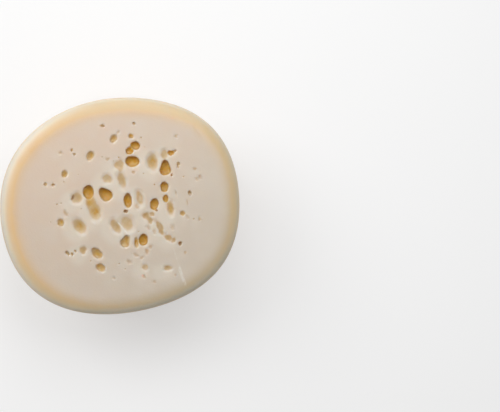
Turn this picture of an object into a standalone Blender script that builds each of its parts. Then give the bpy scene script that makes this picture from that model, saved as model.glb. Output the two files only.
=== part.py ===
"""Half of a round pasta filata cheese, cut through its middle and laid on its rounded back.

Metres, +Z up. The cut face looks straight up, with +X along its long way and +Y across it.
The origin is the centre of the small flat spot, pressed in by the weight, that the half
rests on. The cheese is one piece: the skin is only the outside of the paste.
"""

import math
from collections import namedtuple

import bmesh
import bpy
from mathutils import Matrix, Vector

MM = 0.001

# Cut face, as seen from above: a circle with a few low waves round it. Each wave gives how
# many there are round the circle, how high they are, and the angle from +X of one crest.
FACE_RADIUS = 64.2 * MM
OVAL = (2, 3.7 * MM, 13.9)
LOPSIDED = (3, 0.2 * MM, -19.0)
SQUARE = (4, 1.0 * MM, -39.0)
FIVE_SIDED = (5, 0.2 * MM, 34.0)
SIX_SIDED = (6, 0.25 * MM, -21.0)
OUTLINE_WAVES = (OVAL, LOPSIDED, SQUARE, FIVE_SIDED, SIX_SIDED)

# Height of the half, the rounding of its cut edge, and its back.
HALF_DEPTH = 61.0 * MM          # cut face to resting spot
EDGE_WIDTH = 9.5 * MM           # the cut edge is rounded over this width ...
EDGE_DROP = 4.2 * MM            # ... and falls by this much
BACK_DEPTH = 58.0 * MM          # widest line to where the back would end without the spot
BACK_FULLNESS = 2.25            # 2 would be an ellipse, more is squarer
BACK_WAVES = (                  # soft unevenness of the back, as for the outline
    (2, 0.3 * MM, 28.0),
    (5, 0.2 * MM, -7.0),
)

# Eyes: the hollows in the paste that the cut has opened. Each kind has its depth over its mean
# width, and how far its centre lies under the cut over its half-depth.
EyeKind = namedtuple("EyeKind", "depth sink")
ROUND = EyeKind(0.45, 0.20)
SHALLOW = EyeKind(0.32, 0.0)
DISH = EyeKind(0.20, -0.45)
SOFT_DISH = EyeKind(0.12, -0.45)
SMALL = EyeKind(0.45, 0.10)
CORNER_HEIGHT = 0.07            # how far a three-cornered eye bulges towards its corners

# Mesh fineness.
OUTLINE_SEGMENTS = 84
EDGE_RINGS = 5
BACK_RINGS = 17
LARGE_EYE_MESH = (14, 9)        # segments, rings
SMALL_EYE_MESH = (8, 6)
LARGE_EYE_WIDTH = 3.0 * MM
CREASE_ANGLE = 40.0

PASTE_COLOUR = (0.66, 0.54, 0.42, 1.0)
SKIN_COLOUR = (0.62, 0.41, 0.21, 1.0)
PASTE, SKIN = 0, 1              # material slots

# Millimetres from the face's centre, width and height, how far the top leans to the right
# (degrees), and the direction of a corner (degrees from +X) where an eye is three-cornered.
Eye = namedtuple("Eye", "x y width height lean corner", defaults=(0.0, None))

ROUND_EYES = (
    Eye(6.3, 24.7, 7.3, 6.0),
    Eye(7.9, 33.6, 4.9, 4.4),
    Eye(4.7, 30.4, 3.9, 4.2, 50.0),
    Eye(24.6, 20.8, 5.7, 8.6, 0.0, 90.0),
    Eye(24.1, 10.6, 4.6, 5.5),
    Eye(24.8, 4.1, 3.0, 4.3),
    Eye(18.5, 1.0, 4.6, 6.2, 12.0),
    Eye(-17.9, 8.0, 5.7, 7.7, -10.0),
    Eye(-8.4, 6.6, 6.4, 8.4, -42.0, 132.0),
    Eye(3.8, 3.0, 4.5, 8.0),
    Eye(12.4, -18.8, 5.2, 6.4),
    Eye(27.8, 29.5, 3.8, 2.8, 0.0, -90.0),
)

SHALLOW_EYES = (
    Eye(5.6, 38.8, 2.8, 2.3, 20.0),
    Eye(-4.0, 37.4, 3.4, 5.2, 34.0),
    Eye(-16.9, 27.8, 4.0, 5.2, 30.0),
    Eye(-31.0, 17.7, 3.2, 4.3, 25.0),
    Eye(-33.1, -9.2, 3.9, 4.1),
    Eye(-13.2, -26.2, 4.8, 7.0, -50.0),
    Eye(-11.1, -34.1, 4.2, 5.4, -60.0),
    Eye(2.1, -20.0, 4.5, 6.6, 18.0, 70.0),
    Eye(8.6, -20.3, 2.5, 5.8),
)

DISHES = (
    Eye(17.4, 24.4, 5.6, 9.2),
    Eye(27.6, -1.4, 3.7, 8.2),
    Eye(-14.3, -3.0, 6.6, 9.6, -8.0),
    Eye(-16.8, 2.2, 4.6, 5.6),
    Eye(-22.7, -11.2, 5.8, 8.6, -35.0),
    Eye(0.5, 14.3, 4.3, 8.8, -14.0),
    Eye(-3.0, -11.1, 4.2, 8.6, -33.0),
    Eye(-24.4, 4.4, 5.2, 5.8),
    Eye(21.7, -12.0, 2.8, 7.0, -22.0),
    Eye(27.4, -18.4, 3.6, 3.6),
    Eye(34.1, -4.1, 3.0, 3.0, 0.0, -90.0),
    Eye(-20.8, -24.4, 3.4, 4.0, 0.0, -90.0),
    Eye(25.9, -34.5, 4.4, 2.7),
)

SOFT_DISHES = (
    Eye(-0.6, 22.6, 4.2, 5.0),
    Eye(-7.7, 15.2, 4.8, 4.2),
    Eye(3.5, -9.6, 5.8, 8.0, -25.0),
    Eye(10.4, 4.4, 3.6, 7.8, -14.0),
    Eye(14.4, -5.4, 3.4, 3.6, 20.0),
    Eye(17.2, -5.2, 2.8, 2.6),
    Eye(15.8, -8.0, 2.4, 3.8, -10.0),
    Eye(23.9, 29.9, 3.6, 3.0),
    Eye(13.4, -34.0, 3.2, 2.6, 30.0),
    Eye(4.6, -31.0, 3.4, 2.6, -30.0),
    Eye(8.4, -27.3, 3.2, 1.8, 20.0),
    Eye(36.6, -5.6, 1.8, 2.8, -20.0),
)

SMALL_EYES = (
    Eye(38.2, 7.1, 2.1, 3.0, -15.0),
    Eye(2.7, -3.0, 2.5, 2.0),
    Eye(32.8, -20.9, 2.1, 2.3, 30.0),
    Eye(31.8, 23.4, 1.8, 2.3),
    Eye(-29.4, -26.1, 1.6, 3.0, -38.0),
    Eye(-26.9, -26.6, 1.3, 2.1, -35.0),
    Eye(-37.2, 11.6, 1.8, 1.8),
    Eye(-41.5, 12.0, 1.7, 2.2),
    Eye(-25.6, 28.5, 1.6, 1.7),
    Eye(-27.0, 30.8, 1.4, 2.0),
    Eye(-10.1, 44.3, 2.5, 1.7),
    Eye(7.2, 45.8, 1.7, 1.6, 40.0),
    Eye(-26.2, 4.2, 1.3, 2.8, 10.0),
    Eye(19.4, -2.2, 1.9, 1.3, 20.0),
)


def clear_scene():
    for old in list(bpy.data.objects):
        bpy.data.objects.remove(old, do_unlink=True)


def material(name, colour, roughness):
    made = bpy.data.materials.new(name)
    made.use_nodes = True
    shader = made.node_tree.nodes["Principled BSDF"]
    shader.inputs["Base Color"].default_value = colour
    shader.inputs["Roughness"].default_value = roughness
    shader.inputs["Metallic"].default_value = 0.0
    return made


def wave_height(waves, angle):
    return sum(
        height * math.cos(count * (angle - math.radians(crest)))
        for count, height, crest in waves
    )


def outline_radius(angle):
    """Radius of the widest line of the half at an angle from +X."""
    return FACE_RADIUS + wave_height(OUTLINE_WAVES, angle)


def edge_point(angle, turn):
    """A point of the rounded cut edge; turn runs from the flat face to the widest line."""
    radius = outline_radius(angle) - EDGE_WIDTH * (1.0 - math.sin(turn))
    fall = EDGE_DROP * (1.0 - math.cos(turn))
    return Vector((radius * math.cos(angle), radius * math.sin(angle), HALF_DEPTH - fall))


def back_point(angle, turn):
    """A point of the rounded back; turn runs from the widest line to the resting spot."""
    power = 2.0 / BACK_FULLNESS
    radius = outline_radius(angle) * math.cos(turn) ** power
    radius += wave_height(BACK_WAVES, angle) * math.sin(2.0 * turn)
    fall = EDGE_DROP + BACK_DEPTH * math.sin(turn) ** power
    return Vector((radius * math.cos(angle), radius * math.sin(angle), HALF_DEPTH - fall))


def resting_turn():
    """The turn at which the back reaches the resting spot's level."""
    depth = (HALF_DEPTH - EDGE_DROP) / BACK_DEPTH
    return math.asin(depth ** (BACK_FULLNESS / 2.0))


def cheese_body(paste, skin):
    """The half without its eyes: a flat face, a rounded edge, the back and the spot."""
    quarter = math.pi / 2.0
    angles = [2.0 * math.pi * k / OUTLINE_SEGMENTS for k in range(OUTLINE_SEGMENTS)]
    edge_turns = [quarter * k / EDGE_RINGS for k in range(EDGE_RINGS + 1)]
    back_turns = [resting_turn() * k / BACK_RINGS for k in range(1, BACK_RINGS + 1)]

    bm = bmesh.new()
    rings = [[bm.verts.new(edge_point(angle, turn)) for angle in angles] for turn in edge_turns]
    rings += [[bm.verts.new(back_point(angle, turn)) for angle in angles] for turn in back_turns]
    bm.faces.new(rings[0])
    for number, (upper, lower) in enumerate(zip(rings, rings[1:])):
        for k in range(OUTLINE_SEGMENTS):
            after = (k + 1) % OUTLINE_SEGMENTS
            side = bm.faces.new((upper[k], lower[k], lower[after], upper[after]))
            side.material_index = SKIN if number >= EDGE_RINGS else PASTE
    spot = bm.faces.new(list(reversed(rings[-1])))
    spot.material_index = SKIN

    mesh = bpy.data.meshes.new("cheese_half")
    bm.to_mesh(mesh)
    bm.free()
    mesh.materials.append(paste)
    mesh.materials.append(skin)
    body = bpy.data.objects.new("cheese_half", mesh)
    bpy.context.scene.collection.objects.link(body)
    return body


def eye_cutter(name, eye, kind):
    """A closed egg that cuts one eye to its width and height at the face."""
    opening = math.sqrt(1.0 - kind.sink ** 2)
    depth = kind.depth * 0.5 * (eye.width + eye.height) * MM
    half_depth = depth / (1.0 + kind.sink)
    half_width = 0.5 * eye.width * MM / opening
    half_height = 0.5 * eye.height * MM / opening

    large = eye.width * MM >= LARGE_EYE_WIDTH
    segments, rings = LARGE_EYE_MESH if large else SMALL_EYE_MESH
    bm = bmesh.new()
    bmesh.ops.create_uvsphere(bm, u_segments=segments, v_segments=rings, radius=1.0)
    if eye.corner is not None:
        for vert in bm.verts:
            around = math.atan2(vert.co.y, vert.co.x) - math.radians(eye.corner + eye.lean)
            vert.co.xy *= 1.0 + CORNER_HEIGHT * math.cos(3.0 * around)

    centre = Vector((eye.x * MM, eye.y * MM, HALF_DEPTH - kind.sink * half_depth))
    place = Matrix.Translation(centre) @ Matrix.Rotation(-math.radians(eye.lean), 4, "Z")
    size = Matrix.Diagonal((half_width, half_height, half_depth, 1.0))
    bmesh.ops.transform(bm, matrix=place @ size, verts=bm.verts)

    mesh = bpy.data.meshes.new(name)
    bm.to_mesh(mesh)
    bm.free()
    return bpy.data.objects.new(name, mesh)


def cut_eyes(body):
    """Cut all the eyes in one go, keep the result and drop the cutters."""
    hollows = bpy.data.collections.new("hollows")
    bpy.context.scene.collection.children.link(hollows)
    kinds = (
        ("round_eye", ROUND_EYES, ROUND),
        ("shallow_eye", SHALLOW_EYES, SHALLOW),
        ("dish", DISHES, DISH),
        ("soft_dish", SOFT_DISHES, SOFT_DISH),
        ("small_eye", SMALL_EYES, SMALL),
    )
    for name, eyes, kind in kinds:
        for number, eye in enumerate(eyes):
            hollows.objects.link(eye_cutter(f"{name}_{number}", eye, kind))

    cut = body.modifiers.new("eyes", "BOOLEAN")
    cut.operation = "DIFFERENCE"
    cut.operand_type = "COLLECTION"
    cut.collection = hollows
    cut.solver = "EXACT"
    cut.use_self = True

    bpy.context.view_layer.update()
    evaluated = body.evaluated_get(bpy.context.evaluated_depsgraph_get())
    finished = bpy.data.meshes.new_from_object(evaluated)
    body.modifiers.remove(cut)
    body.data = finished
    for cutter in list(hollows.objects):
        bpy.data.objects.remove(cutter, do_unlink=True)
    bpy.data.collections.remove(hollows)


def smooth_shading(body):
    body.data.shade_smooth()
    body.data.set_sharp_from_angle(angle=math.radians(CREASE_ANGLE))


clear_scene()
cheese = cheese_body(
    paste=material("paste", PASTE_COLOUR, 0.45),
    skin=material("skin", SKIN_COLOUR, 0.38),
)
cut_eyes(cheese)
smooth_shading(cheese)
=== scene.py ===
import math
from collections import namedtuple

import bpy
import numpy as np
from mathutils import Euler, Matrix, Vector
from mathutils.geometry import delaunay_2d_cdt


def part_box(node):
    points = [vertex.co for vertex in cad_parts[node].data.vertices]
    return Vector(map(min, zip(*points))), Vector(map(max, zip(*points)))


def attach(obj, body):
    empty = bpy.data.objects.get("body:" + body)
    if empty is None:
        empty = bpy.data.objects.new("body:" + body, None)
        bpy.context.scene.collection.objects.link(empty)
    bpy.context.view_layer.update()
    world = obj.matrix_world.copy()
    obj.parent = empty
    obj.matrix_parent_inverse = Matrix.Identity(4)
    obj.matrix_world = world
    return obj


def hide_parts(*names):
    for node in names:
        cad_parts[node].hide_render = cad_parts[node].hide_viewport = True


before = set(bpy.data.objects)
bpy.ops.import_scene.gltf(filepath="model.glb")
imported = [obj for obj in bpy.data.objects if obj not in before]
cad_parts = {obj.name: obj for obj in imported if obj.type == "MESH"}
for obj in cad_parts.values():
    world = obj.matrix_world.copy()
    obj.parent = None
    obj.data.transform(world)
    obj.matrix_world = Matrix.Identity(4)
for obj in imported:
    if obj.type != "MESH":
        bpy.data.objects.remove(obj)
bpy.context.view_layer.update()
MM = 0.001

# ---------------------------------------------------------------------------
# The half's outer form: a ball of stretched curd, pressed and brined until it
# is a little square, then cut through with a knife. The cut edge has relaxed
# and rounded, and the back has pressed a small flat spot where it rests.
# ---------------------------------------------------------------------------
FACE_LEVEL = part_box("cheese_half")[1].z
FACE_RADIUS = 64.2 * MM
OUTLINE_WAVES = (               # waves round the outline: how many, how high, one crest's angle
    (2, 3.7 * MM, 13.9),
    (3, 0.2 * MM, -19.0),
    (4, 1.0 * MM, -39.0),
    (5, 0.2 * MM, 34.0),
    (6, 0.25 * MM, -21.0),
)
EDGE_WIDTH = 9.5 * MM
EDGE_DROP = 4.2 * MM
BACK_DEPTH = 58.0 * MM
BACK_FULLNESS = 2.25
BACK_WAVES = (
    (2, 0.3 * MM, 28.0),
    (5, 0.2 * MM, -7.0),
)
DENT_HEIGHT = 0.22 * MM         # the back's shallow dents and swells
DENT_TURNS = np.random.default_rng(4).normal(0.0, 130.0, (6, 3))    # radians a metre


def wave_height(waves, angle):
    return sum(
        height * np.cos(count * (angle - math.radians(crest)))
        for count, height, crest in waves
    )


def outline_radius(angle):
    return FACE_RADIUS + wave_height(OUTLINE_WAVES, angle)


def inset(points):
    """How far points lie inside the outline, seen from above."""
    away = np.hypot(points[:, 0], points[:, 1])
    return outline_radius(np.arctan2(points[:, 1], points[:, 0])) - away


def ring(radius, angles, level):
    """Points of one ring round the half at a height."""
    return np.stack(
        (radius * np.cos(angles), radius * np.sin(angles), np.full(len(angles), level)), axis=1
    )


def edge_ring(angles, inside, turn):
    """A ring of the face's flat border or of its rounded edge."""
    return ring(outline_radius(angles) - inside, angles,
                FACE_LEVEL - EDGE_DROP * (1.0 - math.cos(turn)))


def back_ring(angles, turn):
    """A ring of the rounded back; turn runs from the widest line to the resting spot."""
    power = 2.0 / BACK_FULLNESS
    level = FACE_LEVEL - EDGE_DROP - BACK_DEPTH * math.sin(turn) ** power
    radius = outline_radius(angles) * math.cos(turn) ** power
    dents = np.sin(ring(radius, angles, level) @ DENT_TURNS.T).sum(axis=1)
    uneven = wave_height(BACK_WAVES, angles) + DENT_HEIGHT * dents
    return ring(radius + uneven * math.sin(2.0 * turn), angles, level)


# ---------------------------------------------------------------------------
# The eyes: gas hollows in the paste, opened by the cut. Where the knife passed
# near the middle of a hollow it left a deep, crisp hole, and where it only
# caught the side, a soft dish. Small and faint ones are scattered between.
# ---------------------------------------------------------------------------
Eye = namedtuple("Eye", "x y width height lean corner", defaults=(0.0, None))

# Depth over mean width, how far the centre lies under the cut over the half-depth, how flat the
# bottom is (2 is an egg), how widely the rim is rounded, how uneven the wall is over its radius,
# how golden the bottom is, how brown it is (partly a browner wall, partly painted shade deep in
# the hole), how softly the gold fades out, and how strongly a painted sheen pales the paste
# round it.
EyeKind = namedtuple("EyeKind", "depth sink flatness rim lumps gold brown fade halo")

# Millimetres from the face's centre, width and height, how far the top leans to the right
# (degrees), and the direction of a corner (degrees from +X) where an eye is three-cornered.
ROUND_EYES = (
    Eye(6.3, 24.7, 7.6, 6.3),
    Eye(7.9, 33.5, 5.3, 4.8),
    Eye(4.8, 30.6, 4.0, 4.5, 50.0),
    Eye(24.6, 20.8, 5.8, 8.8, 0.0, 90.0),
    Eye(24.1, 10.6, 4.6, 5.5),
    Eye(24.8, 4.1, 3.0, 4.3),
    Eye(18.5, 1.0, 4.8, 6.3, 12.0),
    Eye(-17.9, 7.6, 5.9, 8.1, -10.0),
    Eye(-8.4, 6.3, 6.4, 8.4, -42.0, 132.0),
    Eye(3.8, 3.0, 4.5, 8.0),
    Eye(12.4, -18.8, 5.2, 6.4),
    Eye(27.8, 29.5, 3.8, 2.8, 0.0, -90.0),
)

SHALLOW_EYES = (
    Eye(5.6, 38.8, 2.9, 2.5, 20.0),
    Eye(-4.0, 37.4, 3.4, 5.2, 34.0),
    Eye(-16.9, 27.8, 4.0, 5.2, 30.0),
    Eye(-31.0, 17.7, 3.2, 4.3, 25.0),
    Eye(-33.1, -9.2, 3.9, 4.1),
    Eye(-13.2, -26.2, 4.8, 7.0, -50.0),
    Eye(-11.1, -34.1, 4.2, 5.4, -60.0),
    Eye(2.5, -19.8, 5.2, 6.8, 18.0, 60.0),
    Eye(8.6, -20.3, 2.5, 5.8),
    Eye(34.2, -4.1, 2.8, 2.7, 20.0),
)

DISHES = (
    Eye(17.4, 24.4, 5.6, 9.2),
    Eye(27.4, -1.2, 3.7, 8.4, -5.0),
    Eye(-14.3, -3.0, 6.6, 9.6, -8.0),
    Eye(-16.8, 2.2, 4.6, 5.6),
    Eye(-22.7, -11.2, 5.8, 8.6, -35.0),
)

SOFT_DISHES = (
    Eye(0.5, 14.3, 4.3, 8.8, -14.0),
    Eye(-3.0, -11.1, 4.2, 8.6, -33.0),
    Eye(-24.4, 4.4, 5.0, 5.6),
    Eye(-20.8, -24.4, 3.4, 4.0, 0.0, -90.0),
    Eye(25.9, -34.5, 4.4, 2.7),
)

FAINT_DISHES = (
    Eye(-0.9, 22.6, 4.4, 5.0, 0.0, 60.0),
    Eye(-7.6, 15.0, 4.8, 4.0),
    Eye(3.5, -9.6, 5.8, 8.0, -25.0),
    Eye(10.4, 4.4, 3.8, 8.0, -14.0),
    Eye(24.0, 28.6, 3.4, 5.6),
    Eye(13.4, -34.0, 3.2, 2.8, 30.0),
)

RAGGED_EYES = (
    Eye(14.0, -5.4, 3.8, 4.2, 20.0),
    Eye(17.3, -4.4, 2.6, 2.0, 15.0),
    Eye(16.2, -8.0, 2.4, 4.0, -30.0),
    Eye(21.0, -10.5, 2.6, 3.6, -8.0),
    Eye(22.2, -13.2, 3.0, 4.8, -16.0),
    Eye(26.6, -17.8, 3.4, 3.4),
    Eye(29.3, -19.0, 2.0, 2.4, 25.0),
)

SMALL_EYES = (
    Eye(38.2, 7.1, 2.1, 3.0, -15.0),
    Eye(31.8, 23.4, 1.8, 2.3),
    Eye(31.6, 21.7, 1.2, 1.2),
    Eye(-29.4, -26.1, 1.8, 3.2, -38.0),
    Eye(-26.9, -26.6, 1.4, 2.2, -35.0),
    Eye(-25.1, -25.0, 1.2, 1.9, -45.0),
    Eye(-37.2, 11.6, 1.8, 1.8),
    Eye(-41.5, 12.0, 1.7, 2.2),
    Eye(-25.6, 28.5, 1.6, 1.7),
    Eye(-27.0, 30.8, 1.4, 2.0),
    Eye(-10.1, 44.3, 2.5, 1.7),
    Eye(7.2, 45.8, 1.7, 1.6, 40.0),
    Eye(29.9, 30.6, 1.9, 1.3),
    Eye(40.3, -7.2, 0.9, 0.9),
)

DARK_EYES = (
    Eye(2.7, -3.0, 2.5, 1.9),
    Eye(32.8, -20.9, 2.0, 2.3, 30.0),
    Eye(28.1, 17.4, 1.2, 1.7),
    Eye(-26.4, 4.7, 1.3, 3.2, 20.0),
    Eye(19.5, -2.3, 2.0, 1.3, 20.0),
)

FAINT_MARKS = (
    Eye(24.5, -16.1, 1.6, 2.8),
    Eye(15.4, -11.9, 3.0, 2.6, 20.0),
    Eye(8.2, -27.2, 3.4, 1.6, 20.0),
    Eye(4.6, -31.0, 3.6, 2.2, 30.0),
    Eye(14.4, -25.2, 2.4, 3.2, -25.0),
    Eye(11.5, -28.7, 2.0, 1.4, -30.0),
    Eye(16.4, -22.6, 1.8, 2.2),
    Eye(18.7, -8.3, 2.0, 1.8),
    Eye(18.5, -14.3, 2.0, 2.6, 15.0),
    Eye(28.5, -12.0, 2.0, 3.0, -15.0),
    Eye(-30.4, -4.1, 2.2, 3.2, -20.0),
    Eye(8.9, -0.2, 2.4, 3.4, 10.0),
    Eye(30.5, 6.9, 1.0, 4.4, -10.0),
    Eye(36.9, 2.0, 1.0, 3.2, -15.0),
    Eye(36.8, -6.1, 1.4, 2.2, -20.0),
    Eye(-33.3, 29.3, 1.6, 1.8),
    Eye(30.5, 38.7, 1.6, 1.7),
    Eye(44.0, 16.0, 1.8, 1.8),
    Eye(42.2, 15.0, 1.4, 1.8),
    Eye(40.9, 20.7, 1.4, 1.8, -30.0),
    Eye(43.7, -7.1, 1.7, 2.1),
    Eye(-7.5, 25.9, 1.8, 1.6),
    Eye(6.9, 18.7, 1.6, 1.6),
    Eye(12.8, -39.3, 1.5, 1.5),
    Eye(18.6, -42.2, 1.5, 1.5),
    Eye(-4.0, -40.0, 1.5, 1.5),
    Eye(30.2, -38.3, 1.2, 1.2),
    Eye(35.8, -25.8, 1.4, 1.5),
    Eye(-1.5, 40.9, 1.3, 1.7, 30.0),
)

KINDS = {
    "round": EyeKind(0.42, 0.20, 3.0, 0.60 * MM, 0.035, 1.0, 0.0, 1.3, 0.2),
    "shallow": EyeKind(0.28, 0.00, 2.5, 0.75 * MM, 0.035, 0.70, 0.0, 1.6, 0.2),
    "dish": EyeKind(0.16, -0.45, 2.0, 1.90 * MM, 0.035, 0.65, 0.0, 1.7, 1.0),
    "soft": EyeKind(0.14, -0.45, 2.0, 1.90 * MM, 0.045, 0.45, 0.1, 1.8, 1.0),
    "faint_dish": EyeKind(0.12, -0.45, 2.0, 2.40 * MM, 0.045, 0.34, 0.0, 2.2, 1.0),
    "ragged": EyeKind(0.14, -0.45, 2.0, 1.10 * MM, 0.11, 0.45, 0.15, 1.6, 0.8),
    "small": EyeKind(0.45, 0.10, 2.0, 0.35 * MM, 0.05, 0.45, 0.15, 1.4, 0.0),
    "dark": EyeKind(0.45, 0.10, 2.0, 0.45 * MM, 0.05, 0.6, 0.65, 1.0, 0.0),
    "faint": EyeKind(0.10, -0.45, 2.0, 0.60 * MM, 0.10, 0.18, 0.12, 1.4, 0.5),
}

# The lumps round an eye's wall: how many, their share of its unevenness, and the radians that
# they turn by over the half-depth.
WALL_LUMPS = ((2, 1.0, 1.5), (3, 0.7, 0.0), (5, 0.5, -2.0))
CORNER_HEIGHT = 0.10            # how far an eye's corners stick out, over its radius
LUMP_ROOM = 1.3                 # how far the lumps and corners can reach, over the radius
GOLD_SPREAD = (0.85, 1.0)       # how golden an eye is, over its kind's gold
WIDEST_RIM = 0.4                # of a rounded rim, over the eye's smaller side
WALL_GRAIN = 0.07 * MM          # height of the wall's small dimples
WALL_GRAIN_STEP = 0.55 * MM

PINHOLE_COUNT = 18
PINHOLE_FIELD = (40.0, 40.0)    # mm, half-width and half-height of the oval they lie in
PINHOLE_WIDTHS = (0.5, 0.8)     # mm
PINHOLE_STRETCH = 1.5           # a hole's greatest height over its width
PINHOLE_LEAN = 30.0             # degrees to either side, at most
PINHOLE_SPREAD = 0.6            # 0.5 spreads them evenly, more crowds them to the middle
PINHOLE_GAP = 1.6               # mm from an eye, at least

rng = np.random.default_rng(11)


def pinholes(eyes):
    """Small random holes between the eyes, more of them towards the middle."""
    holes = []
    while len(holes) < PINHOLE_COUNT:
        away = rng.uniform(0.0, 1.0) ** PINHOLE_SPREAD
        angle = rng.uniform(0.0, 2.0 * math.pi)
        width = rng.uniform(*PINHOLE_WIDTHS)
        x = PINHOLE_FIELD[0] * away * math.cos(angle)
        y = PINHOLE_FIELD[1] * away * math.sin(angle)
        height = width * rng.uniform(1.0, PINHOLE_STRETCH)
        hole = Eye(x, y, width, height, rng.uniform(-PINHOLE_LEAN, PINHOLE_LEAN))
        if all(math.dist(hole[:2], eye[:2]) > 0.5 * max(eye[2:4]) + PINHOLE_GAP for eye in eyes):
            holes.append(hole)
    return holes


class Hollow:
    """One eye as a lumpy egg: its place, half-sizes and rim, in metres."""

    def __init__(self, eye, kind):
        opening = (1.0 - abs(kind.sink) ** kind.flatness) ** (1.0 / kind.flatness)
        self.depth = kind.depth * 0.5 * (eye.width + eye.height) * MM
        self.gold = kind.gold * rng.uniform(*GOLD_SPREAD)
        self.brown = kind.brown
        self.fade = kind.fade
        self.halo = kind.halo
        self.flatness = kind.flatness
        self.lumps = kind.lumps
        self.half = np.array((
            0.5 * eye.width * MM / opening,
            0.5 * eye.height * MM / opening,
            self.depth / (1.0 + kind.sink),
        ))
        self.centre = np.array((eye.x * MM, eye.y * MM, FACE_LEVEL - kind.sink * self.half[2]))
        self.lean = math.radians(eye.lean)
        self.corner = None if eye.corner is None else math.radians(eye.corner + eye.lean)
        self.rim = min(kind.rim, WIDEST_RIM * min(eye.width, eye.height) * MM)
        self.reach = LUMP_ROOM * max(self.half[:2]) + self.rim
        self.phases = rng.uniform(0.0, 2.0 * math.pi, len(WALL_LUMPS))

    def wall_distance(self, points):
        """Distance outwards from the hollow's wall, negative inside the hollow."""
        place = points - self.centre
        across = place[..., 0] * math.cos(self.lean) - place[..., 1] * math.sin(self.lean)
        along = place[..., 0] * math.sin(self.lean) + place[..., 1] * math.cos(self.lean)
        around = np.arctan2(along, across)
        rise = place[..., 2] / self.half[2]
        swell = np.ones_like(around)
        for (count, share, twist), phase in zip(WALL_LUMPS, self.phases):
            swell += share * self.lumps * np.sin(count * around + phase + twist * rise)
        if self.corner is not None:
            swell += CORNER_HEIGHT * np.cos(3.0 * (around - self.corner))
        across = across / swell / self.half[0]
        along = along / swell / self.half[1]
        outward = np.maximum(np.hypot(across, along), 1e-6)
        rise = np.abs(rise)
        power = self.flatness
        level = (outward ** power + rise ** power) ** (1.0 / power)
        steep = np.hypot(across / self.half[0], along / self.half[1]) / outward
        slope = np.hypot(outward ** (power - 1.0) * steep, rise ** (power - 1.0) / self.half[2])
        grain = WALL_GRAIN * np.sin(place / WALL_GRAIN_STEP + self.phases).prod(axis=-1)
        return (level - 1.0) * level ** (power - 1.0) / np.maximum(slope, 1e-9) + grain


EYES = (ROUND_EYES + SHALLOW_EYES + DISHES + SOFT_DISHES + FAINT_DISHES + RAGGED_EYES
        + SMALL_EYES + DARK_EYES + FAINT_MARKS)
hollows = [
    Hollow(eye, KINDS[kind])
    for kind, eyes in (
        ("faint_dish", FAINT_DISHES),
        ("soft", SOFT_DISHES),
        ("dish", DISHES),
        ("faint", FAINT_MARKS),
        ("ragged", RAGGED_EYES),
        ("shallow", SHALLOW_EYES),
        ("round", ROUND_EYES),
        ("small", SMALL_EYES),
        ("dark", DARK_EYES),
        ("small", pinholes(EYES)),
    )
    for eye in eyes
]


def smooth_max(first, second, width):
    overlap = np.maximum(width - np.abs(first - second), 0.0) / width
    return np.maximum(first, second) + 0.25 * width * overlap ** 2


def near_hollows(points, margin):
    """Each hollow with the points that it can reach."""
    pairs = []
    for hollow in hollows:
        offset = np.abs(points[:, :2] - hollow.centre[:2]).max(axis=1)
        pairs.append((hollow, np.flatnonzero(offset < hollow.reach + margin)))
    return pairs


def cut_face_distance(points, pairs):
    """Distance from the cut face and its eyes: negative in the paste, positive in the air."""
    distance = points[..., 2] - FACE_LEVEL
    for hollow, near in pairs:
        wall = -hollow.wall_distance(points[near])
        distance[near] = smooth_max(distance[near], wall, hollow.rim)
    return distance


# ---------------------------------------------------------------------------
# The surface of the half as one closed mesh: a fine grid in and round the eyes,
# flat triangles over the rest of the cut, and rings for the rounded edge and
# the back, down to the resting spot.
# ---------------------------------------------------------------------------
GRID_STEP = 0.30 * MM
GRID_LIFT = 0.37 * GRID_STEP    # keeps the grid's levels off the cut
FIELD_HALF = 50.0 * MM          # half-side of the square that holds all the eyes
DEEPEST_EYE = 5.5 * MM
HEADROOM = 0.5 * MM
SETTLING_STEPS = 2
GRID_MARGIN = 2                 # flat grid columns kept round each eye
PINCH_PASSES = 8

RING_SEGMENTS = 300
BORDER_WIDTH = 10.1 * MM
BORDER_RINGS = 1
EDGE_RINGS = 12
BACK_RINGS = 46
FILL_STEP = 2.0 * MM            # triangles over the plain parts of the cut
FILL_CLEARANCE = 1.0 * MM
FILL_REACH = FACE_RADIUS + 6.0 * MM

# Painted sheen: the paste is paler near an eye, most below it and to its left, a painted
# highlight on the dishes' slopes.
PAINTED_SHEEN_REACH = 7.0 * MM           # the paste is paler this near to an eye ...
PAINTED_SHEEN_DRIFT = np.array((2.6, 2.4, 0.0)) * MM     # ... and most below it and to its left

Patch = namedtuple("Patch", "points faces")


def grid_lines(low, high):
    return low + GRID_STEP * np.arange(int(round((high - low) / GRID_STEP)) + 1)


def widen(mask, cells):
    for _ in range(cells):
        grown = mask.copy()
        grown[1:] |= mask[:-1]
        grown[:-1] |= mask[1:]
        grown[:, 1:] |= mask[:, :-1]
        grown[:, :-1] |= mask[:, 1:]
        mask = grown
    return mask


def eye_columns(value, plain):
    """Columns of the grid where the surface isn't simply the flat cut."""
    changed = (np.abs(value - plain) > 1e-9) & (np.abs(value) < 1.5 * GRID_STEP)
    changed |= (value >= 0.0) != (plain >= 0.0)
    columns = widen(changed.any(axis=2), GRID_MARGIN)
    for _ in range(PINCH_PASSES):           # no two patches that touch only at a corner
        a, b, c, d = columns[:-1, :-1], columns[1:, :-1], columns[:-1, 1:], columns[1:, 1:]
        pinch = (a & d & ~b & ~c) | (b & c & ~a & ~d)
        for part in (a, b, c, d):
            part |= pinch
    return columns


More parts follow.
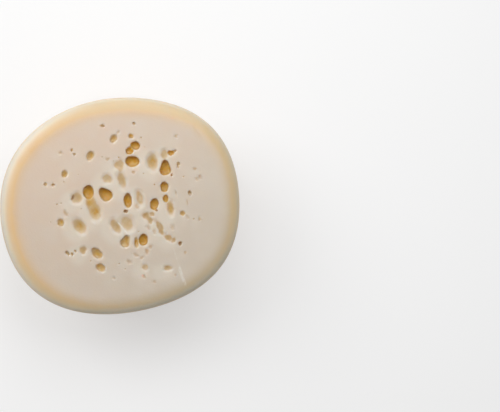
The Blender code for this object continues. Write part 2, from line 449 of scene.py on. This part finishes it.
def mesh_eyes(xs):
    """The cut face in and round the eyes, and the grid columns that it covers."""
    zs = grid_lines(FACE_LEVEL - DEEPEST_EYE, FACE_LEVEL + HEADROOM) + GRID_LIFT
    axes = (xs, xs, zs)
    grid = np.stack(np.meshgrid(*axes, indexing="ij"), axis=-1)
    pairs = []
    for hollow in hollows:
        low = np.searchsorted(xs, hollow.centre[:2] - hollow.reach)
        high = np.searchsorted(xs, hollow.centre[:2] + hollow.reach)
        pairs.append((hollow, (slice(low[0], high[0]), slice(low[1], high[1]))))
    value = cut_face_distance(grid, pairs)
    columns = eye_columns(value, np.broadcast_to(zs - FACE_LEVEL, value.shape))

    # A point in each cell that the surface passes through, at the mean of its crossings of
    # the cell's edges, and a quad across each such edge.
    cells = tuple(size - 1 for size in value.shape)
    total = np.zeros((int(np.prod(cells)), 3))
    count = np.zeros(len(total))
    quads = []
    for axis in range(3):
        first = np.take(value, range(cells[axis]), axis)
        second = np.take(value, range(1, cells[axis] + 1), axis)
        crossed = np.argwhere((first >= 0.0) != (second >= 0.0))
        others = [other for other in range(3) if other != axis]
        inner = crossed[:, others]
        crossed = crossed[((inner > 0) & (inner < np.take(cells, others))).all(axis=1)]
        low, high = first[tuple(crossed.T)], second[tuple(crossed.T)]
        place = np.stack([line[crossed[:, a]] for a, line in enumerate(axes)], axis=1)
        place[:, axis] += GRID_STEP * low / (low - high)
        around = []
        for back in ((1, 1), (0, 1), (0, 0), (1, 0)):
            cell = crossed.copy()
            cell[:, others] -= back
            number = np.ravel_multi_index(cell.T, cells)
            np.add.at(total, number, place)
            np.add.at(count, number, 1.0)
            around.append(number)
        quad = np.stack(around, axis=1)
        inward = (high >= 0.0) == (axis == 1)
        quad[inward] = quad[inward][:, ::-1]
        if axis == 2:           # the flat cut outside the eyes' columns is left to the fill
            quad = quad[columns[crossed[:, 0], crossed[:, 1]]]
        quads.append(quad)
    used, quads = np.unique(np.concatenate(quads), return_inverse=True)
    return Patch(total[used] / count[used, None], quads.reshape(-1, 4)), columns


def settle(points):
    """Move points onto the surface along its slope."""
    nudge = 0.05 * MM
    pairs = near_hollows(points, 2.0 * GRID_STEP)
    slope = np.stack([
        cut_face_distance(points + nudge * step, pairs)
        - cut_face_distance(points - nudge * step, pairs)
        for step in np.eye(3)
    ], axis=1) / (2.0 * nudge)
    slope /= np.maximum((slope ** 2).sum(axis=1, keepdims=True), 0.1)
    for _ in range(SETTLING_STEPS):
        shift = cut_face_distance(points, pairs)[:, None] * slope
        length = np.linalg.norm(shift, axis=1, keepdims=True)
        points = points - shift * np.minimum(1.0, 0.5 * GRID_STEP / np.maximum(length, 1e-12))
    return points


def mesh_rings(angles):
    """The face's border, its rounded edge, the back and the resting spot."""
    rings = [
        edge_ring(angles, inside, 0.0)
        for inside in np.linspace(BORDER_WIDTH, EDGE_WIDTH, BORDER_RINGS, endpoint=False)
    ]
    for turn in np.linspace(0.0, 0.5 * math.pi, EDGE_RINGS + 1):
        rings.append(edge_ring(angles, EDGE_WIDTH * (1.0 - math.sin(turn)), turn))
    full_depth = (FACE_LEVEL - EDGE_DROP) / BACK_DEPTH
    resting_turn = math.asin(full_depth ** (BACK_FULLNESS / 2.0))
    for turn in np.linspace(0.0, resting_turn, BACK_RINGS + 1)[1:]:
        rings.append(back_ring(angles, turn))

    first = np.arange(RING_SEGMENTS)
    after = np.roll(first, -1)
    faces = []
    for k in range(len(rings) - 1):
        upper, lower = k * RING_SEGMENTS, (k + 1) * RING_SEGMENTS
        quad = np.stack((first + upper, first + lower, after + lower, after + upper), axis=1)
        faces.extend(quad.tolist())
    last = (len(rings) - 1) * RING_SEGMENTS
    faces.append((first[::-1] + last).tolist())
    return Patch(np.concatenate(rings), faces)


def open_edges(quads):
    """The edges that only one quad uses."""
    edges = np.sort(np.concatenate([quads[:, [k, (k + 1) % 4]] for k in range(4)]), axis=1)
    edges, uses = np.unique(edges, axis=0, return_counts=True)
    return edges[uses == 1]


def mesh_fill(eyes, columns, xs, border):
    """Flat triangles between the eyes' patches and the border ring. The border's points are
    numbered after the eyes' points, and the new points inside after those."""
    def marked(mask, points):
        place = np.clip(np.rint((points[:, :2] - xs[0]) / GRID_STEP).astype(int), 0, len(xs) - 1)
        return mask[place[:, 0], place[:, 1]]

    row = 0.5 * math.sqrt(3.0) * FILL_STEP
    loose = np.array([
        (x + (0.5 * FILL_STEP if k % 2 else 0.0), y)
        for k, y in enumerate(np.arange(-FILL_REACH, FILL_REACH, row))
        for x in np.arange(-FILL_REACH, FILL_REACH, FILL_STEP)
    ])
    loose = loose[inset(loose) > BORDER_WIDTH + FILL_CLEARANCE]
    loose = loose[~marked(widen(columns, int(FILL_CLEARANCE / GRID_STEP)), loose)]

    rims = open_edges(eyes.faces)
    on_rims = np.unique(rims)
    flat = np.concatenate((eyes.points[on_rims, :2], border[:, :2], loose))
    numbers = np.concatenate((on_rims, len(eyes.points) + np.arange(len(border) + len(loose))))
    on_border = np.arange(len(border)) + len(on_rims)
    edges = np.concatenate((
        np.searchsorted(on_rims, rims),
        np.stack((on_border, np.roll(on_border, -1)), axis=1),
    ))
    found = delaunay_2d_cdt((flat / MM).tolist(), edges.tolist(), [], 0, 1e-5)
    places = np.array([tuple(point) for point in found[0]]) * MM
    corners = np.array(found[2])
    middle = places[corners].mean(axis=1)
    kept = ~marked(columns, middle) & (inset(middle) > BORDER_WIDTH)
    sources = numbers[[origin[0] for origin in found[3]]]
    return Patch(
        np.column_stack((loose, np.full(len(loose), FACE_LEVEL))), sources[corners[kept]]
    )


def mesh_half():
    xs = grid_lines(-FIELD_HALF, FIELD_HALF)
    eyes, columns = mesh_eyes(xs)
    eyes = eyes._replace(points=settle(eyes.points))
    rings = mesh_rings(np.linspace(0.0, 2.0 * math.pi, RING_SEGMENTS, endpoint=False))
    fill = mesh_fill(eyes, columns, xs, rings.points[:RING_SEGMENTS])

    # The fill numbers its own points right after the border ring, so they move up past the
    # rest of the rings.
    corners = fill.faces.copy()
    corners[corners >= len(eyes.points) + RING_SEGMENTS] += len(rings.points) - RING_SEGMENTS
    faces = eyes.faces.tolist() + corners.tolist()
    faces += [[k + len(eyes.points) for k in face] for face in rings.faces]
    points = np.concatenate((eyes.points, rings.points, fill.points))

    mesh = bpy.data.meshes.new("half_with_eyes")
    mesh.from_pydata(points.tolist(), [], faces)
    mesh.shade_smooth()

    on_cut = np.ones(len(points), dtype=bool)
    back = len(eyes.points) + (BORDER_RINGS + EDGE_RINGS + 1) * RING_SEGMENTS
    on_cut[back:len(eyes.points) + len(rings.points)] = False
    under_cut = np.zeros(len(points))
    in_eyes = slice(0, len(eyes.points))
    under_cut[in_eyes] = np.maximum(0.0, FACE_LEVEL - points[in_eyes, 2])
    halo = np.zeros(len(points))
    gold = np.zeros(len(points))
    brown = np.zeros(len(points))
    for hollow, near in near_hollows(points, PAINTED_SHEEN_REACH):
        # painted sheen: paler paste round the eye, shifted below it and to its left
        away = np.maximum(hollow.wall_distance(points[near] + PAINTED_SHEEN_DRIFT), 0.0)
        sheen_near = hollow.halo * np.maximum(1.0 - away / PAINTED_SHEEN_REACH, 0.0)
        halo[near] = np.maximum(halo[near], sheen_near)
        away = np.maximum(hollow.wall_distance(points[near]), 0.0)
        share = np.minimum(under_cut[near] / hollow.depth, 1.0) ** hollow.fade
        share *= np.maximum(1.0 - away / hollow.rim, 0.0)
        gold[near] = np.maximum(gold[near], hollow.gold * share)
        # brown with depth: partly the wall's own colour, partly painted shade
        brown[near] = np.maximum(brown[near], hollow.brown * share)
    for name, values in (
        ("under_skin", np.where(on_cut, np.maximum(inset(points), 0.0), 0.0) / MM),
        ("halo", halo),
        ("gold", gold),
        ("brown", brown),
    ):
        mesh.attributes.new(name, "FLOAT", "POINT").data.foreach_set("value", values)
    return mesh


half = bpy.data.objects.new("half_with_eyes", mesh_half())
bpy.context.scene.collection.objects.link(half)
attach(half, "root")
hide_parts("cheese_half")


# ---------------------------------------------------------------------------
# The cheese's looks: pinkish cream paste, drier and yellower towards the skin,
# golden moist walls in the eyes, a pale scuff, and a tan, waxy skin with fine
# flecks. Painted into the colours as well: a painted sheen beside the dishes, painted
# shade on the rind's greyer side, and partly painted shade deep in the small and dark eyes.
# ---------------------------------------------------------------------------
PASTE_PINK = (0.668, 0.545, 0.438, 1.0)
PASTE_GREY = (0.605, 0.530, 0.440, 1.0)
PASTE_PALE_AND_SHEEN = (0.68, 0.61, 0.515, 1.0)
GREYER_SIDE = -40.0             # the way from pink to grey, degrees from +X
GREYER_REACH = 55.0 * MM        # how far that way the paste is all grey
GREYER_WANDER = 50.0 * MM
GREYER_PATCHES = 38.0           # to a metre, as all the patches below
CLOUD_PATCHES = 75.0
CLOUD_SHARE = 0.25              # how pale the clouds in the paste are
# how strongly the painted sheen beside the dishes pales the paste
PAINTED_SHEEN_SHARE = 0.8                # how pale the paste beside the dishes is

RIND_DEPTH = 20.0               # mm under the skin where the rind's colours end
RIND = (                        # mm under the skin, and the colour there
    (0.0, (0.60, 0.53, 0.44, 1.0)),
    (1.2, (0.65, 0.61, 0.53, 1.0)),
    (2.6, (0.69, 0.62, 0.50, 1.0)),
    (4.4, (0.70, 0.54, 0.345, 1.0)),
    (6.8, (0.71, 0.505, 0.275, 1.0)),
    (9.5, (0.68, 0.505, 0.325, 1.0)),
    (13.0, (0.68, 0.53, 0.390, 1.0)),
)
RIND_FADE = (5.0, 15.0)         # mm under the skin, where the rind fades into the paste
RIND_WANDER = 2.5               # mm that its inner side wanders by
RIND_PATCHES = 30.0
RIND_THINNING = 2.5             # mm that it is thinner by on the greyer side ...
THINNING_REACH = 30.0 * MM      # ... in full from this far out
SHIFTED_RIND = (1.0, 7.0)       # mm under the skin, where both set in
# Painted shade: the rind is darker and greyer on the greyer side, towards the lower right.
RIND_PAINTED_SHADE = (0.50, 0.46, 0.355, 1.0)
RIND_PAINTED_SHADE_SHARE = 0.6
RIND_PAINTED_SHADE_REACH = (-30.0 * MM, 65.0 * MM)   # from and to how far out on the greyer side
RIND_WARM = (0.63, 0.495, 0.30, 1.0)        # the rind on its warmer sides
WARM_EDGE_SHARE = 0.3           # how warm the skin's edge is there
WARM_START = (0.3, 3.0)         # mm under the skin, where the warmth sets in ...
WARM_END = (5.5, 8.5)           # ... and where it ends
WARM_SIDES = (                  # the way there (degrees from +X), from and to how far out, share
    (50.0, 0.0, 40.0 * MM, 0.75),
    (238.0, 45.0 * MM, 64.0 * MM, 0.45),
)

EYE_STEPS = (                   # how golden, and the colour of the eye's wall there
    (0.0, (0.655, 0.535, 0.435, 1.0)),
    (0.12, (0.62, 0.48, 0.32, 1.0)),
    (0.35, (0.58, 0.42, 0.215, 1.0)),
    (0.65, (0.56, 0.33, 0.075, 1.0)),
    (1.0, (0.60, 0.30, 0.02, 1.0)),
)
# The small and dark eyes turn brown with depth: partly a browner wall, partly painted shade deep
# in the holes.
EYE_BROWN_AND_SHADE = (0.29, 0.155, 0.095, 1.0)
EYE_EDGE = 0.20                 # how golden a wall is where nothing of the cut's colour is left
EYE_PATCHES = 420.0
EYE_MOTTLE = (0.75, 1.1)        # times as golden from patch to patch

# Pale scuffs in the cut: the middle, how far the top leans to the left (degrees), the size and
# how pale it is.
Scuff = namedtuple("Scuff", "x y lean length width share")
SCUFFS = (
    Scuff(33.9 * MM, -38.4 * MM, 19.0, 14.0 * MM, 1.6 * MM, 0.85),
    Scuff(33.1 * MM, -38.6 * MM, 19.0, 10.0 * MM, 0.6 * MM, 0.5),
    Scuff(30.5 * MM, -28.0 * MM, 17.0, 12.0 * MM, 0.9 * MM, 0.4),
    Scuff(0.9 * MM, -12.1 * MM, 40.0, 11.0 * MM, 0.9 * MM, 0.8),
)
SCUFF_WHITE = (0.72, 0.68, 0.61, 1.0)
SCUFF_PATCHES = 420.0
SCUFF_GAPS = 0.3                # how pale a scuff is where it is broken, over its whole places

SKIN_TAN = (0.67, 0.445, 0.225, 1.0)
SKIN_DARK = (0.60, 0.375, 0.170, 1.0)
SKIN_PALE = (0.73, 0.56, 0.36, 1.0)
SKIN_EDGE = (0.64, 0.51, 0.36, 1.0)
SKIN_EDGE_HEIGHT = 4.0 * MM     # how far down the skin is paler next to the cut
SKIN_EDGE_TOP = 1.0 * MM        # and how far up it is all pale
SKIN_STREAK = (1.0, 1.0, 0.35)  # stretches the skin's patches up and down
SKIN_PATCHES = 30.0
SKIN_FLECKS = 900.0
FLECK_GROUPS = 60.0
FLECK_SHARES = (0.1, 0.7)       # how pale the flecks are outside and inside their groups
SKIN_THICKNESS = 0.9            # mm

PASTE_ROUGHNESS = 0.42
RIND_ROUGHNESS = 0.33           # of the skin too
GLOSSY_RIND = (3.0, 9.0)        # mm under the skin, between the two
EYE_GLOSS = 0.12                # how much smoother the moist walls of the eyes are
RELIEF = 0.05 * MM              # fine unevenness of the cut and of the skin
RELIEF_PATCHES = 220.0
RELIEF_POINTS = 1100.0
LIGHT_REACH = 8.0 * MM          # how far light spreads inside the cheese


class Nodes:
    """Short calls for building a material."""

    def __init__(self, name):
        self.made = bpy.data.materials.new(name)
        self.made.use_nodes = True
        self.tree = self.made.node_tree
        self.shader = self.tree.nodes["Principled BSDF"]

    def set(self, socket, value):
        if isinstance(value, bpy.types.NodeSocket):
            self.tree.links.new(value, socket)
        else:
            socket.default_value = value

    def add(self, kind, **inputs):
        node = self.tree.nodes.new(kind)
        for name, value in inputs.items():
            self.set(node.inputs[name.replace("_", " ")], value)
        return node

    def attribute(self, name):
        node = self.tree.nodes.new("ShaderNodeAttribute")
        node.attribute_name = name
        return node.outputs["Fac"]

    def place(self, location=(0.0, 0.0, 0.0), turn=0.0, scale=(1.0, 1.0, 1.0)):
        """Coordinates on the cheese, in metres, turned about Z and then moved."""
        node = self.add("ShaderNodeMapping",
                        Vector=self.tree.nodes.new("ShaderNodeTexCoord").outputs["Object"])
        node.inputs["Location"].default_value = location
        node.inputs["Rotation"].default_value = (0.0, 0.0, math.radians(turn))
        node.inputs["Scale"].default_value = scale
        return node.outputs["Vector"]

    def out_towards(self, way):
        """How far out on one side, in metres; the way there is in degrees from +X."""
        return self.add("ShaderNodeSeparateXYZ", Vector=self.place(turn=-way)).outputs["X"]

    def noise(self, scale, detail=2.0, place=None):
        """Soft patches between 0 and 1, scale of them to a metre."""
        return self.add("ShaderNodeTexNoise", Vector=place or self.place(), Scale=scale,
                        Detail=detail).outputs["Fac"]

    def wander(self, scale, reach):
        """Patches between minus and plus half the reach."""
        return self.math("MULTIPLY", self.math("SUBTRACT", self.noise(scale), 0.5), reach)

    def ramp(self, value, low, high, first=0.0, last=1.0):
        """first below low, last above high, eased between."""
        node = self.add("ShaderNodeMapRange", Value=value, From_Min=low, From_Max=high,
                        To_Min=first, To_Max=last)
        node.interpolation_type = "SMOOTHSTEP"
        return node.outputs["Result"]

    def math(self, operation, first, second=0.0):
        node = self.tree.nodes.new("ShaderNodeMath")
        node.operation = operation
        self.set(node.inputs[0], first)
        self.set(node.inputs[1], second)
        return node.outputs[0]

    def mix(self, share, first, second):
        node = self.tree.nodes.new("ShaderNodeMix")
        node.data_type = "RGBA"
        self.set(node.inputs["Factor"], share)
        self.set(node.inputs[6], first)
        self.set(node.inputs[7], second)
        return node.outputs[2]

    def colours(self, value, stops, full):
        """Colours by a value, between stops given in the value's own units."""
        node = self.add("ShaderNodeValToRGB", Fac=self.math("DIVIDE", value, full))
        elements = node.color_ramp.elements
        elements.remove(elements[1])
        elements[0].color = stops[0][1]
        for position, colour in stops[1:]:
            elements.new(position / full).color = colour
        return node.outputs["Color"]


def paste_colour(nodes):
    wander = nodes.wander(GREYER_PATCHES, GREYER_WANDER)
    out = nodes.math("ADD", nodes.out_towards(GREYER_SIDE), wander)
    paste = nodes.mix(nodes.ramp(out, -GREYER_REACH, GREYER_REACH), PASTE_PINK, PASTE_GREY)
    cloudy = nodes.ramp(nodes.noise(CLOUD_PATCHES, 3.0), 0.35, 0.7, 0.0, CLOUD_SHARE)
    # The paste's own pale clouds, and the painted sheen beside the dishes.
    sheen_beside_dishes = nodes.ramp(nodes.attribute("halo"), 0.15, 0.9, 0.0, PAINTED_SHEEN_SHARE)
    return nodes.mix(nodes.math("MAXIMUM", cloudy, sheen_beside_dishes), paste, PASTE_PALE_AND_SHEEN)


def rind_over(nodes, paste, under_skin):
    out = nodes.out_towards(GREYER_SIDE)
    thinner = nodes.ramp(out, -THINNING_REACH, THINNING_REACH, 0.0, RIND_THINNING)
    shift = nodes.math("ADD", nodes.wander(RIND_PATCHES, RIND_WANDER), thinner)
    shift = nodes.math("MULTIPLY", shift, nodes.ramp(under_skin, *SHIFTED_RIND))
    depth = nodes.math("ADD", under_skin, shift)
    rind = nodes.colours(depth, RIND, RIND_DEPTH)
    # painted shade on the rind's greyer side
    rind = nodes.mix(nodes.ramp(out, *RIND_PAINTED_SHADE_REACH, 0.0, RIND_PAINTED_SHADE_SHARE), rind, RIND_PAINTED_SHADE)
    warm = nodes.math(
        "MULTIPLY",
        nodes.ramp(depth, *WARM_START, WARM_EDGE_SHARE, 1.0),
        nodes.ramp(depth, *WARM_END, 1.0, 0.0),
    )
    for way, near, far, share in WARM_SIDES:
        there = nodes.ramp(nodes.out_towards(way), near, far, 0.0, share)
        rind = nodes.mix(nodes.math("MULTIPLY", warm, there), rind, RIND_WARM)
    return nodes.mix(nodes.ramp(depth, *RIND_FADE), rind, paste)


def eye_walls_over(nodes, cut, gold):
    golden = nodes.colours(gold, EYE_STEPS, 1.0)
    # brown bottoms: partly a browner wall, partly painted shade deep in the small eyes
    wall = nodes.mix(nodes.attribute("brown"), golden, EYE_BROWN_AND_SHADE)
    return nodes.mix(nodes.ramp(gold, 0.0, EYE_EDGE), cut, wall)


def scuff_share(nodes, scuff):
    centre = Vector((scuff.x, scuff.y, 0.0))
    centre.rotate(Euler((0.0, 0.0, math.radians(-scuff.lean))))
    place = nodes.add("ShaderNodeSeparateXYZ", Vector=nodes.place(-centre, -scuff.lean))
    across = nodes.math("ABSOLUTE", place.outputs["X"])
    along = nodes.math("ABSOLUTE", place.outputs["Y"])
    return nodes.math(
        "MULTIPLY",
        nodes.ramp(across, 0.2 * scuff.width, 0.6 * scuff.width, scuff.share, 0.0),
        nodes.ramp(along, 0.3 * scuff.length, 0.5 * scuff.length, 1.0, 0.0),
    )


def scuffs_over(nodes, cut):
    broken = nodes.ramp(nodes.noise(SCUFF_PATCHES), 0.36, 0.55, SCUFF_GAPS, 1.0)
    for scuff in SCUFFS:
        share = nodes.math("MULTIPLY", scuff_share(nodes, scuff), broken)
        cut = nodes.mix(share, cut, SCUFF_WHITE)
    return cut


def skin_colour(nodes):
    streaky = nodes.place(scale=SKIN_STREAK)
    darker = nodes.ramp(nodes.noise(SKIN_PATCHES, 3.0, streaky), 0.35, 0.75)
    skin = nodes.mix(darker, SKIN_TAN, SKIN_DARK)
    flecks = nodes.math(
        "MULTIPLY",
        nodes.ramp(nodes.noise(SKIN_FLECKS, 2.0, streaky), 0.62, 0.74),
        nodes.ramp(nodes.noise(FLECK_GROUPS), 0.4, 0.7, *FLECK_SHARES),
    )
    skin = nodes.mix(flecks, skin, SKIN_PALE)
    height = nodes.add("ShaderNodeSeparateXYZ", Vector=nodes.place()).outputs["Z"]
    widest = FACE_LEVEL - EDGE_DROP
    near_cut = nodes.ramp(height, widest - SKIN_EDGE_HEIGHT, widest + SKIN_EDGE_TOP)
    return nodes.mix(near_cut, skin, SKIN_EDGE)


def cheese_material():
    nodes = Nodes("cheese")
    under_skin = nodes.attribute("under_skin")
    mottle = nodes.ramp(nodes.noise(EYE_PATCHES), 0.3, 0.7, *EYE_MOTTLE)
    gold = nodes.math("MULTIPLY", nodes.attribute("gold"), mottle)

    cut = rind_over(nodes, paste_colour(nodes), under_skin)
    cut = eye_walls_over(nodes, cut, gold)
    cut = scuffs_over(nodes, cut)
    on_cut = nodes.ramp(under_skin, 0.0, SKIN_THICKNESS)
    colour = nodes.mix(on_cut, skin_colour(nodes), cut)
    nodes.set(nodes.shader.inputs["Base Color"], colour)

    roughness = nodes.ramp(under_skin, *GLOSSY_RIND, RIND_ROUGHNESS, PASTE_ROUGHNESS)
    wetter = nodes.ramp(gold, 0.1, 0.5, 0.0, EYE_GLOSS)
    nodes.set(nodes.shader.inputs["Roughness"], nodes.math("SUBTRACT", roughness, wetter))
    nodes.shader.inputs["IOR"].default_value = 1.4
    relief = nodes.math("ADD", nodes.noise(RELIEF_PATCHES, 3.0), nodes.noise(RELIEF_POINTS))
    bump = nodes.add("ShaderNodeBump", Height=relief, Distance=RELIEF)
    nodes.set(nodes.shader.inputs["Normal"], bump.outputs["Normal"])
    nodes.shader.inputs["Subsurface Weight"].default_value = 0.9
    nodes.shader.inputs["Subsurface Radius"].default_value = (1.0, 0.8, 0.6)
    nodes.shader.inputs["Subsurface Scale"].default_value = LIGHT_REACH
    return nodes.made


half.data.materials.append(cheese_material())


# ---------------------------------------------------------------------------
# The floor, the light and the camera: a pale table that glows a little, with a
# painted shadow where its glow dims round the resting spot, two large soft lamps
# over its far side, and a camera straight above the cut face, turned a little so
# that the face lies left of the frame's middle.
# ---------------------------------------------------------------------------
TABLE_HALF = 3.0                # metres
TABLE_GREY = 0.40
TABLE_GLOW = 0.53
# Painted shadow: the table's glow dims towards the spot where the cheese rests.
PAINTED_SHADOW_GLOW = 0.05              # the glow at the resting spot ...
PAINTED_SHADOW_REACH = (0.015, 0.072)   # ... and the distances from it between which it grows
STUDIO_LIGHT = 0.22

corners = [(-TABLE_HALF, -TABLE_HALF, 0.0), (TABLE_HALF, -TABLE_HALF, 0.0),
           (TABLE_HALF, TABLE_HALF, 0.0), (-TABLE_HALF, TABLE_HALF, 0.0)]
floor_mesh = bpy.data.meshes.new("floor")
floor_mesh.from_pydata(corners, [], [(0, 1, 2, 3)])
floor = bpy.data.objects.new("floor", floor_mesh)
bpy.context.scene.collection.objects.link(floor)

table_top = Nodes("table_top")
table_top.shader.inputs["Base Color"].default_value = (TABLE_GREY, TABLE_GREY, TABLE_GREY, 1.0)
table_top.shader.inputs["Roughness"].default_value = 0.9
table_top.shader.inputs["Emission Color"].default_value = (1.0, 1.0, 1.0, 1.0)
from_spot = table_top.tree.nodes.new("ShaderNodeVectorMath")
from_spot.operation = "LENGTH"
table_top.set(from_spot.inputs[0], table_top.place())
# the glow, with a painted shadow round the resting spot
glow_with_painted_shadow = table_top.ramp(from_spot.outputs["Value"], *PAINTED_SHADOW_REACH, PAINTED_SHADOW_GLOW, TABLE_GLOW)
table_top.set(table_top.shader.inputs["Emission Strength"], glow_with_painted_shadow)
floor_mesh.materials.append(table_top.made)

world = bpy.data.worlds.new("studio")
world.use_nodes = True
world.node_tree.nodes["Background"].inputs["Color"].default_value = (1.0, 1.0, 1.0, 1.0)
world.node_tree.nodes["Background"].inputs["Strength"].default_value = STUDIO_LIGHT
bpy.context.scene.world = world


def soft_lamp(name, azimuth, elevation, distance, size, watts):
    """A square lamp that faces the cheese; azimuth 0 is +X and 90 is +Y."""
    flat = distance * math.cos(math.radians(elevation))
    place = Vector((
        flat * math.cos(math.radians(azimuth)),
        flat * math.sin(math.radians(azimuth)),
        distance * math.sin(math.radians(elevation)),
    ))
    light = bpy.data.lights.new(name, "AREA")
    light.shape = "SQUARE"
    light.size = size
    light.energy = watts
    lamp = bpy.data.objects.new(name, light)
    lamp.location = place
    lamp.rotation_euler = (-place).to_track_quat("-Z", "Y").to_euler()
    bpy.context.scene.collection.objects.link(lamp)


soft_lamp("lamp_upper_left", 146.0, 42.0, 1.5, 0.9, 11.0)
soft_lamp("lamp_overhead", 80.0, 62.0, 0.60, 0.4, 2.05)

FRAME_WIDTH = 500               # pixels
FRAME_HEIGHT = 412
FACE_CENTRE = (120.9, 206.0)    # where the face's centre lies in the frame, pixels
METRES_PER_PIXEL = 0.5565 * MM
LENS = 100.0
SENSOR = 36.0

camera_data = bpy.data.cameras.new("camera")
camera_data.lens = LENS
camera_data.sensor_width = SENSOR
camera = bpy.data.objects.new("camera", camera_data)
camera.location = (0.0, 0.0, FACE_LEVEL + METRES_PER_PIXEL * FRAME_WIDTH * LENS / SENSOR)
aim = Vector((
    (FRAME_WIDTH / 2 - FACE_CENTRE[0]) * METRES_PER_PIXEL,
    (FACE_CENTRE[1] - FRAME_HEIGHT / 2) * METRES_PER_PIXEL,
    FACE_LEVEL,
)) - camera.location
camera.rotation_euler = (math.atan2(aim.y, -aim.z), -math.atan2(aim.x, -aim.z), 0.0)
bpy.context.scene.collection.objects.link(camera)
bpy.context.scene.camera = camera
bpy.context.scene.view_settings.view_transform = "Standard"

bpy.context.view_layer.update()
